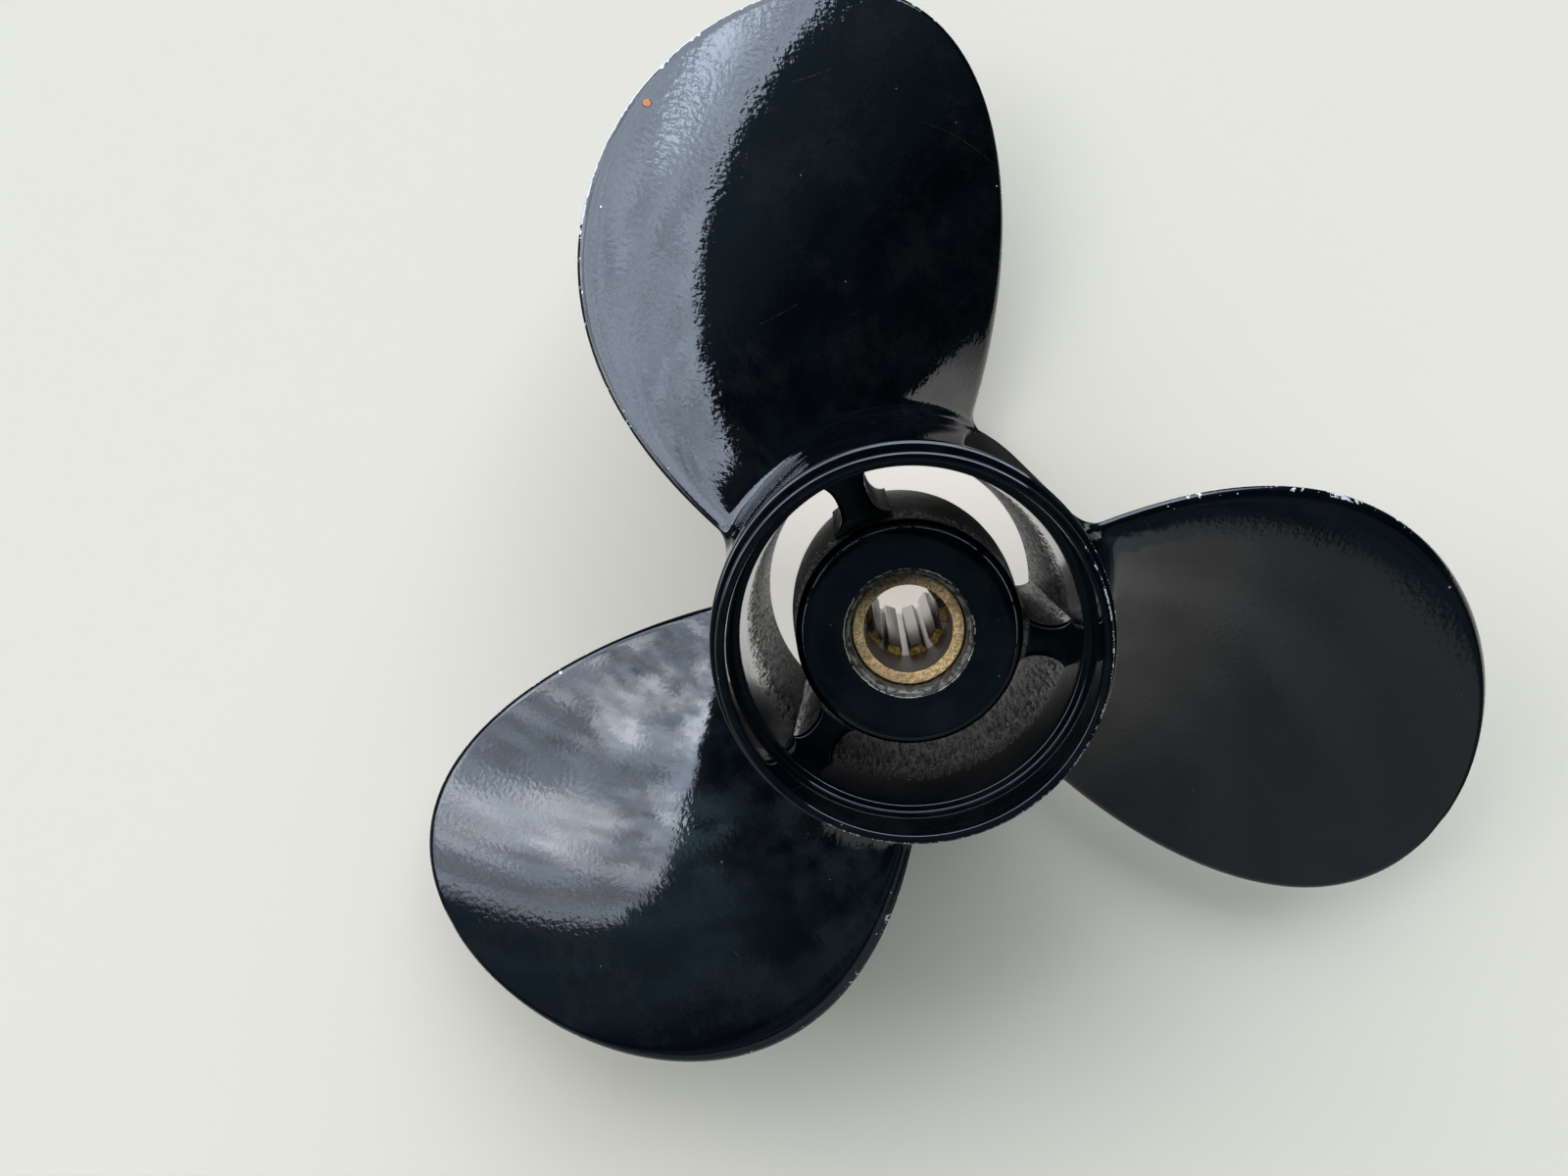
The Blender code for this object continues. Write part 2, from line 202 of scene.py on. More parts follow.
class Graph:
    """Adds nodes to one shader tree or Geometry Nodes tree."""

    def __init__(self, tree):
        self.tree = tree

    def node(self, kind, settings=None, inputs=None, output=0):
        """Adds a node: its settings first, then the values or fields of its sockets."""
        made = self.tree.nodes.new(kind)
        for name, value in (settings or {}).items():
            if name == "stops":
                self.set_stops(made.color_ramp, value)
            else:
                setattr(made, name, value)
        for name, value in (inputs or {}).items():
            if isinstance(value, Field):
                self.tree.links.new(value.port, made.inputs[name])
            else:
                made.inputs[name].default_value = value
        return Field(self, made.outputs[output]) if made.outputs else made

    def set_stops(self, ramp, stops):
        """Gives a ramp its stops (place, grey value) in rising order."""
        ramp.elements.remove(ramp.elements[1])
        ramp.elements[0].position = stops[0][0]
        for place, value in stops[1:]:
            ramp.elements.new(place)
        for element, (place, value) in zip(ramp.elements, stops):
            element.color = (value, value, value, 1)

    def maths(self, operation, *values):
        return self.node("ShaderNodeMath", {"operation": operation}, dict(enumerate(values)))

    def vector(self, x, y, z):
        return self.node("ShaderNodeCombineXYZ", None, {0: x, 1: y, 2: z})

    def parts(self, vector):
        """The x, y and z of a vector field."""
        first = self.node("ShaderNodeSeparateXYZ", None, {0: vector})
        outputs = first.port.node.outputs
        return [Field(self, outputs[i]) for i in range(3)]

    def scaled(self, vector, amounts):
        """A vector field times one vector of plain numbers."""
        return self.node("ShaderNodeVectorMath", {"operation": "MULTIPLY"}, {0: vector, 1: amounts})

    def times(self, colour, amount):
        """A colour times a number or a field."""
        inputs = {0: colour if isinstance(colour, Field) else colour[:3], "Scale": amount}
        return self.node("ShaderNodeVectorMath", {"operation": "SCALE"}, inputs)

    def distance(self, place, centre):
        settings = {"operation": "DISTANCE"}
        return self.node("ShaderNodeVectorMath", settings, {0: place, 1: centre}, output=1)

    def step(self, value, low, high):
        """0 below low, 1 above high, and a soft rise between. It falls where low is above high."""
        flipped = low > high
        ends = {"From Min": min(low, high), "From Max": max(low, high)}
        ends["To Min"] = 1 if flipped else 0
        ends["To Max"] = 0 if flipped else 1
        settings = {"interpolation_type": "SMOOTHSTEP"}
        return self.node("ShaderNodeMapRange", settings, {0: value, **ends})

    def blend(self, share, first, second):
        """Mixes two colours."""
        settings = {"data_type": "RGBA"}
        inputs = {0: share, 6: rgba(first), 7: rgba(second)}
        return self.node("ShaderNodeMix", settings, inputs, output=2)

    def noise(self, place, scale, detail, roughness):
        inputs = {"Vector": place, "Scale": scale, "Detail": detail, "Roughness": roughness}
        return self.node("ShaderNodeTexNoise", None, inputs)

    def cells(self, place, scale):
        """Distance to the nearest of scattered points, in the pattern's own units."""
        return self.node("ShaderNodeTexVoronoi", None, {"Vector": place, "Scale": scale})

    def attribute(self, name):
        return self.node("ShaderNodeAttribute", {"attribute_name": name}, output=2)


def rgba(colour):
    if isinstance(colour, Field) or len(colour) == 4:
        return colour
    return (*colour, 1)


def either(operation, plain):
    """A function that adds a Math node where a field is given, and works on plain arrays too."""

    def worked(*values):
        for value in values:
            if isinstance(value, Field):
                return value.graph.maths(operation, *values)
        return plain(*values)

    return worked


root = either("SQRT", np.sqrt)
sine = either("SINE", np.sin)
cosine = either("COSINE", np.cos)
arctan = either("ARCTANGENT", np.arctan)
sign = either("SIGN", np.sign)
lower = either("MINIMUM", np.minimum)
higher = either("MAXIMUM", np.maximum)


def hypotenuse(first, second):
    return root(first * first + second * second)


def mix(low, high, share):
    return low + (high - low) * share


# The blade's rule, for the Geometry Nodes tree and for arrays alike


def barrel_radius(z):
    share = lower(higher(z / SHOULDER_Z, 0), 1)
    return mix(FRONT_RADIUS, SHOULDER_RADIUS, share)


def blade_angles(sizes, radius):
    """Middle and half of the angle that the blade spans at a radius."""
    share = lower(radius / sizes.tip_radius, 1)
    half = mix(HALF_ANGLE_AT_AXIS, HALF_ANGLE_AT_TIP, share)
    half = half * root(higher(1 - share**TIP_ROUNDNESS, 0))
    return MID_ANGLE + SKEW * share**SKEW_POWER, half


def blade_face(sizes, radius, angle):
    """Height of the blade's aft face: a screw surface with a little rake."""
    out = radius - LIP_RADIUS
    rake = RAKE_LINEAR * out + RAKE_CURVE * out * out
    return HUB_LENGTH - BLADE_DROP + sizes.pitch * angle / (2 * np.pi) + rake


def flare(fillet, gap):
    """How far a fillet widens the blade at a distance from the barrel."""
    inward = lower(higher(fillet * FILLET_REACH - gap, 0), fillet)
    return fillet - root(higher(fillet * fillet - inward * inward, 0))


def round_end(edge, width):
    """Rises from 0 at the blade's edge to 1 at this width, as a quarter circle does."""
    inward = 1 - lower(edge / width, 1)
    return root(higher(1 - inward * inward, 0))


def edge_distance(sizes, radius, reach, half):
    """Distance from the blade's nearest edge, square to that edge."""
    nudge = 0.0004
    middle_in, half_in = blade_angles(sizes, radius - nudge)
    middle_here, half_here = blade_angles(sizes, radius)
    side = sign(reach)
    lean = (middle_here - middle_in + side * (half_here - half_in)) / nudge * radius
    across = (1 - abs(reach)) * half * radius
    return lower(across / root(1 + lean * lean), sizes.tip_radius - radius)


def blade_offset(sizes, radius, reach, side, edge, gap):
    """Height of the skin over the screw surface, square to it."""
    span = (radius - SHOULDER_RADIUS) / (sizes.tip_radius - SHOULDER_RADIUS)
    span = root(lower(higher(span, 0), 1))
    thickest = mix(sizes.root_thickness, sizes.tip_thickness, span)
    whole = sizes.edge_thickness + (thickest - sizes.edge_thickness) * (1 - reach * reach)
    fillet = flare(sizes.root_fillet, gap) * round_end(edge, sizes.root_fillet)
    roll = higher((reach - ROLL_START) / (1 - ROLL_START), 0)
    offset = side * (whole * 0.5 * round_end(edge, sizes.edge_round) + fillet)
    return offset - whole * 0.5 - sizes.edge_roll * roll * roll


def root_radius(sizes, reach):
    """Radius where the barrel meets this chord line of the blade."""
    middle, half = blade_angles(sizes, FRONT_RADIUS)
    return barrel_radius(blade_face(sizes, FRONT_RADIUS, middle + reach * half))


# Plain mesh building


def new_object(name, mesh):
    made = bpy.data.objects.new(name, mesh)
    bpy.context.scene.collection.objects.link(made)
    return made


def from_bmesh(name, bm):
    mesh = bpy.data.meshes.new(name)
    bm.to_mesh(mesh)
    bm.free()
    return new_object(name, mesh)


def rounded(corners, arc_steps=5):
    """A closed outline from corners (x, z, radius), each one replaced by an arc."""
    most = 0.46
    smallest = 2e-5
    outline = []
    for i, (x, z, radius) in enumerate(corners):
        corner = Vector((x, z))
        before = Vector(corners[i - 1][:2]) - corner
        after = Vector(corners[(i + 1) % len(corners)][:2]) - corner
        half = before.angle(after) / 2
        reach = min(radius / np.tan(half), before.length * most, after.length * most)
        if radius == 0 or reach < smallest:
            outline.append(corner)
            continue
        start = corner + before.normalized() * reach
        end = corner + after.normalized() * reach
        for step in range(arc_steps + 1):
            t = step / arc_steps
            # a parabola is close enough to the arc at this size
            outline.append(start * (1 - t) ** 2 + corner * 2 * t * (1 - t) + end * t**2)
    return outline


def divided(outline, longest):
    """Adds points on an outline's long sides, so that no side is longer than this."""
    points = []
    for i, start in enumerate(outline):
        end = outline[(i + 1) % len(outline)]
        pieces = max(1, ceil(hypot(*(end - start)) / longest))
        points += [start.lerp(end, k / pieces) for k in range(pieces)]
    return points


def turned(name, outline, sides):
    """A closed outline swept round the Z axis."""
    radii, heights = np.array([(p[0], p[1]) for p in outline]).T
    angles = np.linspace(0, 2 * np.pi, sides, endpoint=False)
    x = np.outer(np.cos(angles), radii)
    y = np.outer(np.sin(angles), radii)
    points = np.stack([x, y, np.tile(heights, (sides, 1))], axis=-1)
    count = len(radii)
    here = np.arange(sides * count).reshape(sides, count)
    across = np.roll(here, -1, axis=0)
    faces = np.stack([here, across, np.roll(across, -1, 1), np.roll(here, -1, 1)], axis=-1)
    mesh = bpy.data.meshes.new(name)
    mesh.from_pydata(points.reshape(-1, 3).tolist(), [], faces.reshape(-1, 4).tolist())
    return faced_outwards(new_object(name, mesh))


def faced_outwards(made):
    bm = bmesh.new()
    bm.from_mesh(made.data)
    bmesh.ops.recalc_face_normals(bm, faces=bm.faces)
    bm.to_mesh(made.data)
    bm.free()
    return made


def evaluated_copy(made):
    """Swaps an object's mesh for what its modifiers make, and takes them off."""
    graph = bpy.context.evaluated_depsgraph_get()
    graph.update()
    mesh = bpy.data.meshes.new_from_object(made.evaluated_get(graph))
    mesh.name = made.name
    made.modifiers.clear()
    made.data = mesh


def united(target, *helpers):
    """Unites closed meshes into the target, and removes the helpers."""
    for helper in helpers:
        modifier = target.modifiers.new(helper.name, "BOOLEAN")
        modifier.operation = "UNION"
        modifier.solver = "MANIFOLD"
        modifier.object = helper
    evaluated_copy(target)
    for helper in helpers:
        bpy.data.objects.remove(helper)
    if not target.data.polygons:
        raise RuntimeError(f"{target.name} came out of its union empty")


def skinned(name, rings):
    """A closed skin over rings of equally many points, with a flat cap on each end."""
    bm = bmesh.new()
    rows = [[bm.verts.new(p) for p in ring] for ring in rings]
    for low, high in zip(rows, rows[1:]):
        for i in range(len(low)):
            j = (i + 1) % len(low)
            bm.faces.new((low[i], low[j], high[j], high[i]))
    for row in (rows[0], rows[-1]):
        bmesh.ops.triangulate(bm, faces=[bm.faces.new(row)])
    return faced_outwards(from_bmesh(name, bm))


def shade(made, material, sharp_angle):
    """Gives a finished piece its material and smooth shading, with sharp edges where it folds."""
    made.data.materials.clear()
    made.data.materials.append(material)
    made.data.shade_smooth()
    made.data.set_sharp_from_angle(angle=radians(sharp_angle))


# Geometry Nodes trees


def new_tree(name, floats=(), whole_numbers=(), takes_mesh=False):
    """An empty tree with named inputs, its graph, and its inputs as fields."""
    tree = bpy.data.node_groups.new(name, "GeometryNodeTree")
    face = tree.interface
    if takes_mesh:
        face.new_socket("Geometry", in_out="INPUT", socket_type="NodeSocketGeometry")
    kinds = [(label, "Float") for label in floats] + [(label, "Int") for label in whole_numbers]
    for label, kind in [*kinds, ("Material", "Material")]:
        face.new_socket(label, in_out="INPUT", socket_type="NodeSocket" + kind)
    face.new_socket("Geometry", in_out="OUTPUT", socket_type="NodeSocketGeometry")
    graph = Graph(tree)
    entry = tree.nodes.new("NodeGroupInput")
    fields = {port.name: Field(graph, port) for port in entry.outputs if port.name}
    return graph, fields


def round_the_axis(graph, fields, geometry):
    """Repeats the geometry round the Z axis, makes it real and gives it its material."""
    points = graph.node("GeometryNodeMeshLine", None, {"Count": fields["Count"], "Offset": (0, 0, 0)})
    index = graph.node("GeometryNodeInputIndex")
    turn = fields["First Turn"] + index * (2 * np.pi) / fields["Count"]
    inputs = {"Points": points, "Instance": geometry, "Rotation": graph.vector(0, 0, turn)}
    copies = graph.node("GeometryNodeInstanceOnPoints", None, inputs)
    real = graph.node("GeometryNodeRealizeInstances", None, {"Geometry": copies})
    inputs = {"Geometry": real, "Material": fields["Material"]}
    painted = graph.node("GeometryNodeSetMaterial", None, inputs)
    graph.node("NodeGroupOutput", None, {0: painted})


def ring_tree():
    """Repeats the object's own mesh round the axis."""
    graph, fields = new_tree("Round The Axis", ["First Turn"], ["Count"], takes_mesh=True)
    round_the_axis(graph, fields, fields["Geometry"])
    return graph.tree


BLADE_SIZES = (
    "tip_radius", "pitch", "root_thickness", "tip_thickness", "edge_thickness",
    "edge_round", "edge_roll", "root_fillet", "edge_fillet",
)


def label_of(name):
    return name.replace("_", " ").title()


def blade_tree():
    """Bends a grid into one blade's skin by the blade's rule, and repeats it round the axis."""
    labels = [*map(label_of, BLADE_SIZES), "First Turn"]
    graph, fields = new_tree("Blade Skin", labels, ["Count", "Columns", "Rows"])
    sizes = SimpleNamespace(**{name: fields[label_of(name)] for name in BLADE_SIZES})
    inputs = {0: 1, 1: 1, "Vertices X": fields["Rows"], "Vertices Y": fields["Columns"]}
    grid = graph.node("GeometryNodeMeshGrid", None, inputs)
    x, y, _ = graph.parts(graph.node("GeometryNodeInputPosition"))
    along = x + 0.5
    # once round the section: leading edge, aft face, trailing edge, front face
    round_section = (y + 0.5) * (2 * np.pi)
    reach = cosine(round_section)
    side = sign(sine(round_section))
    # the section has no thickness at its two ends, which closes the skin
    nudge = 0.0001
    ends = higher(sign(along - nudge), 0) * higher(sign(1 - nudge - along), 0)
    start = root_radius(sizes, reach) - ROOT_SINK
    share = 0.5 - 0.5 * cosine(along * np.pi)
    radius = mix(start, sizes.tip_radius, share)
    middle, half = blade_angles(sizes, radius)
    gap = radius - barrel_radius(blade_face(sizes, radius, middle + reach * half))
    edge = edge_distance(sizes, radius, reach, half)
    wide = half + flare(sizes.edge_fillet, gap) / radius
    angle = middle + reach * wide * (1 - TRAILING_TRIM * higher(sign(reach), 0))
    offset = blade_offset(sizes, radius, reach, side * ends, edge, gap)
    slope = arctan(sizes.pitch / (2 * np.pi) / radius)
    turn = angle - offset * sine(slope) / radius
    z = blade_face(sizes, radius, angle) + offset * cosine(slope)
    place = graph.vector(radius * cosine(turn), radius * sine(turn), z)
    skin = graph.node("GeometryNodeSetPosition", None, {"Geometry": grid, "Position": place})
    inputs = {"Geometry": skin, "Distance": WELD_DISTANCE}
    closed = graph.node("GeometryNodeMergeByDistance", None, inputs)
    round_the_axis(graph, fields, closed)
    return graph.tree


def grown(made, tree, values):
    """Runs a tree on an object and keeps the result as its plain mesh."""
    modifier = made.modifiers.new(tree.name, "NODES")
    modifier.node_group = tree
    for item in tree.interface.items_tree:
        if item.in_out == "INPUT" and item.name in values:
            modifier[item.identifier] = values[item.name]
    evaluated_copy(made)
    if not made.data.polygons:
        raise RuntimeError(f"{made.name} has no faces after its tree")
    faced_outwards(made)


# Finishes


def new_material(name):
    """A material, its graph, and the point's place on the part in millimetres."""
    material = bpy.data.materials.new(name)
    material.use_nodes = True
    material.node_tree.nodes.clear()
    graph = Graph(material.node_tree)
    metres = graph.node("ShaderNodeTexCoord", None, None, output=3)
    return material, graph, graph.scaled(metres, (MM, MM, MM))


def finish_with(graph, colour, roughness, metallic, height=None, bump=0, **plain):
    """Ends a material in one Principled shader, with a bump where there is a height."""
    inputs = {"Base Color": rgba(colour), "Roughness": roughness, "Metallic": metallic}
    if height is not None:
        # the height is in metres
        inputs["Normal"] = graph.node(
            "ShaderNodeBump", None, {"Strength": bump, "Distance": 1, "Height": height}
        )
    for name, value in plain.items():
        inputs[label_of(name)] = value
    shader = graph.node("ShaderNodeBsdfPrincipled", None, inputs)
    graph.node("ShaderNodeOutputMaterial", None, {"Surface": shader})


def axis_place(graph, place):
    """The place's x, y and z, and its distance from the axis."""
    x, y, z = graph.parts(place)
    return x, y, z, hypotenuse(x, y)


def near_spots(graph, place, spots, ragged):
    """Mask of irregular spots at places (x, y, z, radius) on the part, in millimetres, long in z."""
    mask = 0
    flat = graph.scaled(place, (1, 1, 0.2))
    for *centre, size in spots:
        gap = graph.distance(flat, (centre[0], centre[1], centre[2] * 0.2))
        spot = graph.step(gap + ragged * size, size, size * 0.85)
        mask = higher(spot, mask)
    return mask


def scratches(graph, x, y, lines):
    """Mask of hairlines (x, y, x, y, bend, half width) seen from aft, in millimetres."""
    mask = 0
    for x0, y0, x1, y1, bend, width in lines:
        span = hypot(x1 - x0, y1 - y0)
        ux, uy = (x1 - x0) / span, (y1 - y0) / span
        along = (x - x0) * ux + (y - y0) * uy
        across = (y - y0) * ux - (x - x0) * uy + along * (span - along) * (4 * bend / span**2)
        line = graph.step(abs(across), width, width * 0.4)
        line *= graph.step(abs(along - span / 2), span / 2, span / 2 - 1)
        mask = higher(line, mask)
    return mask


def paint_material(colours):
    """Gloss black paint: worn at the edges, thin over the rough cast skin of the passages."""
    material, graph, place = new_material("black_paint")
    step, blend, noise = graph.step, graph.blend, graph.noise
    x, y, z, radius = axis_place(graph, place)
    grain = noise(place, 2.4, 2, 0.6)
    fine = noise(place, 0.9, 2, 0.6)
    coarse = noise(place, 0.3, 2, 0.55)
    mottle = noise(place, 0.06, 2, 0.5)
    ragged = (fine - 0.5) * 1.3 + (grain - 0.5) * 0.6
    # a thin worn line on the blades' edges, whole where the wear is 1 and broken up below that
    edge = graph.attribute("edge_gap")
    wear = graph.attribute("edge_wear")
    line = step(0.4 + ragged * 0.34 - edge, 0, 0.1)
    keep = coarse * 0.45 + fine * 0.55 - (0.68 - 0.42 * wear)
    worn = line * step(keep, 0, 0.03)
    chipped = near_spots(graph, place, EDGE_CHIPS, ragged * 1.4)
    # flecks of bare metal on the barrel's corners
    lip_corner = hypotenuse(radius - (LIP_RADIUS * MM - 0.15), z - (HUB_LENGTH * MM - 0.15))
    shoulder = hypotenuse(radius - (SHOULDER_RADIUS * MM - 0.1), z - (SHOULDER_Z * MM - 0.2))
    corner = higher(step(lip_corner, 0.5, 0.2), step(shoulder, 0.32, 0.12) * 0.94)
    flecks = fine * 0.35 + coarse * 0.25 + grain * 0.4
    speckled = step(corner * flecks * step(y - x, 34, -20), 0.505, 0.535)
    # a broken pale line near the edge of the inner hub's end face, on its upper side only: partly worn
    # metal, partly a painted highlight where the edge catches the light
    end_z = INNER_AFT_Z * MM
    face_wear_and_highlight = step(abs(radius - 19.3), 0.11, 0.04) * step(z, end_z - 1, end_z - 0.7)
    face_wear_and_highlight *= step(coarse + ragged * 0.1, 0.4, 0.48) * step(y, -6, 6)
    # dirty machined cone round the bore, with a broken pale line on its rim
    cone_rim = (LAND_RADIUS + BORE_CHAMFER) * MM
    cone = step(radius + ragged * 0.3, cone_rim - 0.18, cone_rim - 0.3) * step(z, 60, 61)
    rim = step(abs(radius + ragged * 0.42 - cone_rim), 0.13, 0.05)
    inner_rim = step(abs(radius + ragged * 0.3 - (cone_rim - 0.75)), 0.1, 0.04) * 0.8
    rim = higher(rim, inner_rim) * step(z, end_z - 1.5, end_z - 1.1)
    rim *= step(coarse * 0.5 + fine * 0.5 - (y + x) * 0.0022, 0.44, 0.54)
    # the passages keep their rough cast skin, painted over at both ends
    outer, inner = PASSAGE_RADIUS * MM, INNER_AFT_RADIUS * MM
    inside = step(radius, outer + 0.6, outer + 0.3) * step(radius, inner - 0.9, inner - 0.5)
    streaks = noise(graph.scaled(place, (1, 1, 0.12)), 1.4, 3, 0.6)
    pits = noise(graph.scaled(place, (1, 1, 0.16)), 3.8, 2, 0.6)
    browner = step(radius, 26, 24)
    depth = z + (streaks + pits - 1) * 46 + (mottle - 0.5 - browner) * 14
    rough_cast = inside * step(depth, 77, 59) * step(depth, -12, 6)
    hub_side = step(radius, 22.7, 22.3) * step(z, 83.2, 82.4)
    rough_cast *= higher(step(z, 75, 73), hub_side)
    grains = step(streaks * 0.45 + pits * 0.55, 0.36, 0.56)
    # bare metal of worn edges, chips and flecks, with the painted highlight line on the hub's end face
    bare_and_highlight = higher(higher(worn, chipped), higher(speckled * 0.8, face_wear_and_highlight * 0.5))
    hairline = scratches(graph, x, y, HAIRLINES) * step(grain, 0.42, 0.6)
    dust = step(graph.cells(graph.scaled(place, (1, 1, 0.05)), 0.25), 0.055, 0.03)
    dust *= step(coarse, 0.54, 0.6)
    hazy = step(coarse * 0.4 + mottle * 0.6, 0.46, 0.64)
    paint = blend(hazy, colours.paint, (0.0032, 0.0033, 0.0034))
    paint = blend(higher(dust * 0.3, hairline * 0.07), paint, (0.3, 0.3, 0.3))
    wall_skin = blend(grains, colours.cast_dark, colours.cast_light)
    rings = noise(graph.scaled(place, (0.16, 0.16, 1)), 0.55, 4, 0.7)
    hub_skin = blend(step(rings, 0.4, 0.62), (0.035, 0.027, 0.021), (0.34, 0.29, 0.23))
    skin = blend(browner, wall_skin, hub_skin)
    colour = blend(rough_cast, paint, skin)
    dirt = blend(step(fine, 0.4, 0.62), (0.02, 0.017, 0.012), (0.12, 0.11, 0.08))
    colour = blend(cone, colour, dirt)
    colour = blend(rim, colour, (0.33, 0.3, 0.23))
    colour = blend(bare_and_highlight, colour, blend(grain, (0.42, 0.41, 0.39), colours.aluminium))
    crumb = near_spots(graph, place, [CRUMB], ragged * 0.6)
    colour = blend(crumb, colour, (0.5, 0.17, 0.06))
    metal = higher(bare_and_highlight * 0.35, higher(cone * 0.15, rim * 0.1)) * (1 - crumb)
    satin = graph.attribute("satin")
    rough = 0.04 + satin * 0.05 + (mottle - 0.4) * 0.03 + inside * 0.06
    rough += dust * 0.4 + hairline * 0.2
    rough = mix(rough, 0.68 - grains * 0.32 * (1 - browner) - browner * 0.26, rough_cast)
    rough = mix(rough, 0.45 + grain * 0.15, higher(higher(bare_and_highlight, cone), rim))
    rough = mix(rough, 0.8, crumb)
    # orange peel, stronger in patches; sand-cast grain; the crumb
    swell = step(mottle, 0.36, 0.62)
    ripple = noise(place, 0.85, 2, 0.45) - 0.5
    height = ripple * (1.8e-5 + swell * 3.4e-5) * graph.attribute("ripple")
    sandy = (streaks - 0.5) * 1.1e-4 + (pits - 0.5) * 0.7e-4
    height = mix(height, sandy, inside * (0.25 + step(z, 78, 62) * 0.75))
    height += step(radius, cone_rim - 0.18, cone_rim - 0.3) * (pits - 0.5) * 1e-4
    height += near_spots(graph, place, [CRUMB], 0) * 6e-4
    finish_with(graph, colour, rough, metal, height, 1)
    return material


def brass_material(colours):
    """Machined brass: a sandy end ring, a dark counterbore, and teeth with paler flanks, their pale tone
    partly painted light from below.
    """
    material, graph, place = new_material("brass")
    step, blend, noise = graph.step, graph.blend, graph.noise
    _, _, z, radius = axis_place(graph, place)
    grain = noise(place, 3.2, 3, 0.65)
    fine = noise(place, 1.2, 3, 0.6)
    stain = noise(place, 0.22, 2, 0.5)
    bright = tuple(min(1, c * 2.2) for c in colours.brass)
    dark = tuple(c * 0.42 for c in colours.brass)
    end_z = SLEEVE_AFT_Z * MM
    sandy = step(z, end_z - 0.8, end_z - 0.4)
    sandy = lower(sandy + step(radius, 9.9, 10.1) * step(z, 70, 71), 1)
    end_ring = blend(step(grain * 0.6 + fine * 0.4, 0.38, 0.6), dark, bright)
    end_ring = blend(step(stain, 0.44, 0.62) * 0.4, end_ring, (0.19, 0.12, 0.06))
    wall = blend(fine, (0.12, 0.096, 0.079), (0.24, 0.19, 0.155))
    tooth_z = TOOTH_AFT_Z * MM
    deep = step(z, tooth_z + 0.3, tooth_z)
    below = step(z, tooth_z - 0.2, tooth_z - 0.6)
    tooth_end = blend(step(fine, 0.35, 0.6), (0.26, 0.15, 0.04), (0.85, 0.56, 0.18))
    # tooth tips and flanks paled towards white: partly the brass itself, partly painted light coming up
    # the bore
    land_painted_lit = blend(fine, (0.5, 0.455, 0.43), (0.7, 0.64, 0.6))
    flank_painted_lit = blend(grain, (0.6, 0.53, 0.49), (0.86, 0.79, 0.74))
    tip = (SPLINE_RADIUS - TOOTH_HEIGHT) * MM
    teeth = blend(step(radius, tip + 0.3, tip + 0.15), flank_painted_lit, land_painted_lit)
    teeth = blend(below, tooth_end, teeth)
    colour = blend(sandy, wall, end_ring)
    colour = blend(deep, colour, teeth)
    rough = 0.36 + fine * 0.12 + sandy * 0.14 - below * 0.1
    height = (grain - 0.5) * (3e-5 + sandy * 1.6e-4 + deep * (1 - below) * 1.2e-4)
    metal = 0.9 - sandy * 0.85 - below * 0.3
    finish_with(graph, colour, rough, metal, height, 1)
    return material


def rubber_material(colours):
    """Dull moulded rubber."""
    material, graph, place = new_material("rubber")
    grain = graph.noise(place, 3, 3, 0.6)
    dusty = graph.noise(place, 0.3, 3, 0.6)
    colour = graph.blend(graph.step(dusty, 0.45, 0.7) * 0.35, colours.rubber, (0.09, 0.085, 0.08))
    finish_with(graph, colour, 0.6 + grain * 0.25, 0, (grain - 0.5) * 8e-5, 1)
    return material


def floor_material(colours):
    """Pale matt paper, lit a little from inside, with a painted pool of light under the hub."""
    material, graph, place = new_material("pale_floor")
    _, y, _, radius = axis_place(graph, place)
    cloud = graph.noise(place, 0.004, 3, 0.5)
    tint = tuple(colours.floor)
    # the light screens are bluish, so the paper is a little warm
    warm = (tint[0] * 0.98, tint[1] * 0.87, tint[2] * 0.72)
    colour = graph.blend(cloud * 0.15, warm, tuple(c * 0.85 for c in warm))
    # painted pool of light under the hub, where the part shades the floor: a little brighter towards +y,
    # dimmer under the bore
    light_pool_under_hub = graph.step(radius, 40, 35) * (0.76 + higher(y, 0) * 0.012)
    light_pool_under_hub *= 0.82 + graph.step(radius, 9, 12) * 0.18
    glow = graph.times(tint, 0.12 + light_pool_under_hub)
    finish_with(graph, colour, 0.9, 0, emission_color=glow, emission_strength=1)
    return material


def wall_material(colours):
    """Pale wall behind everything, seen by the camera alone."""
    material, graph, place = new_material("pale_wall")
    cloud = graph.noise(place, 0.0004, 2, 0.5)
    tint = tuple(colours.floor)
    glow = graph.blend(cloud * 0.2, tint, tuple(c * 0.9 for c in tint))
    finish_with(graph, (0, 0, 0), 1, 0, emission_color=glow, emission_strength=1.05)
    return material


# how high the pale card below reaches, by azimuth: both in degrees
CARD_EDGE = (
    (-145, 24), (-120, 27), (-90, 27), (-56.5, 25), (-55.5, -38), (-23, -38), (-22, 6), (-12, 5), (-8, 2),
    (-5, -1), (0, -9), (10, -17), (25, -29), (39, -37), (65, -48), (90, -55), (120, -50), (150, -37),
    (170, -24), (176, -14), (180, -4), (188, -5), (193, -9), (215, -7),
)
# bright patches of the large soft screen: azimuth, elevation, reach in degrees and strength
BRIGHT_PATCHES = (
    (56, 36.5, 3.3, 13), (142, 19, 5, 5), (161, 36, 8, 3), (151, 27, 5, 2.2), (125, 29, 5, 2),
)
# azimuth is counted on both sides of this one, so that its seam lies in the dark walls
MIDDLE_AZIMUTH = 35
# heights that the card's edge can have
CARD_LOW = -60
CARD_SPAN = 120


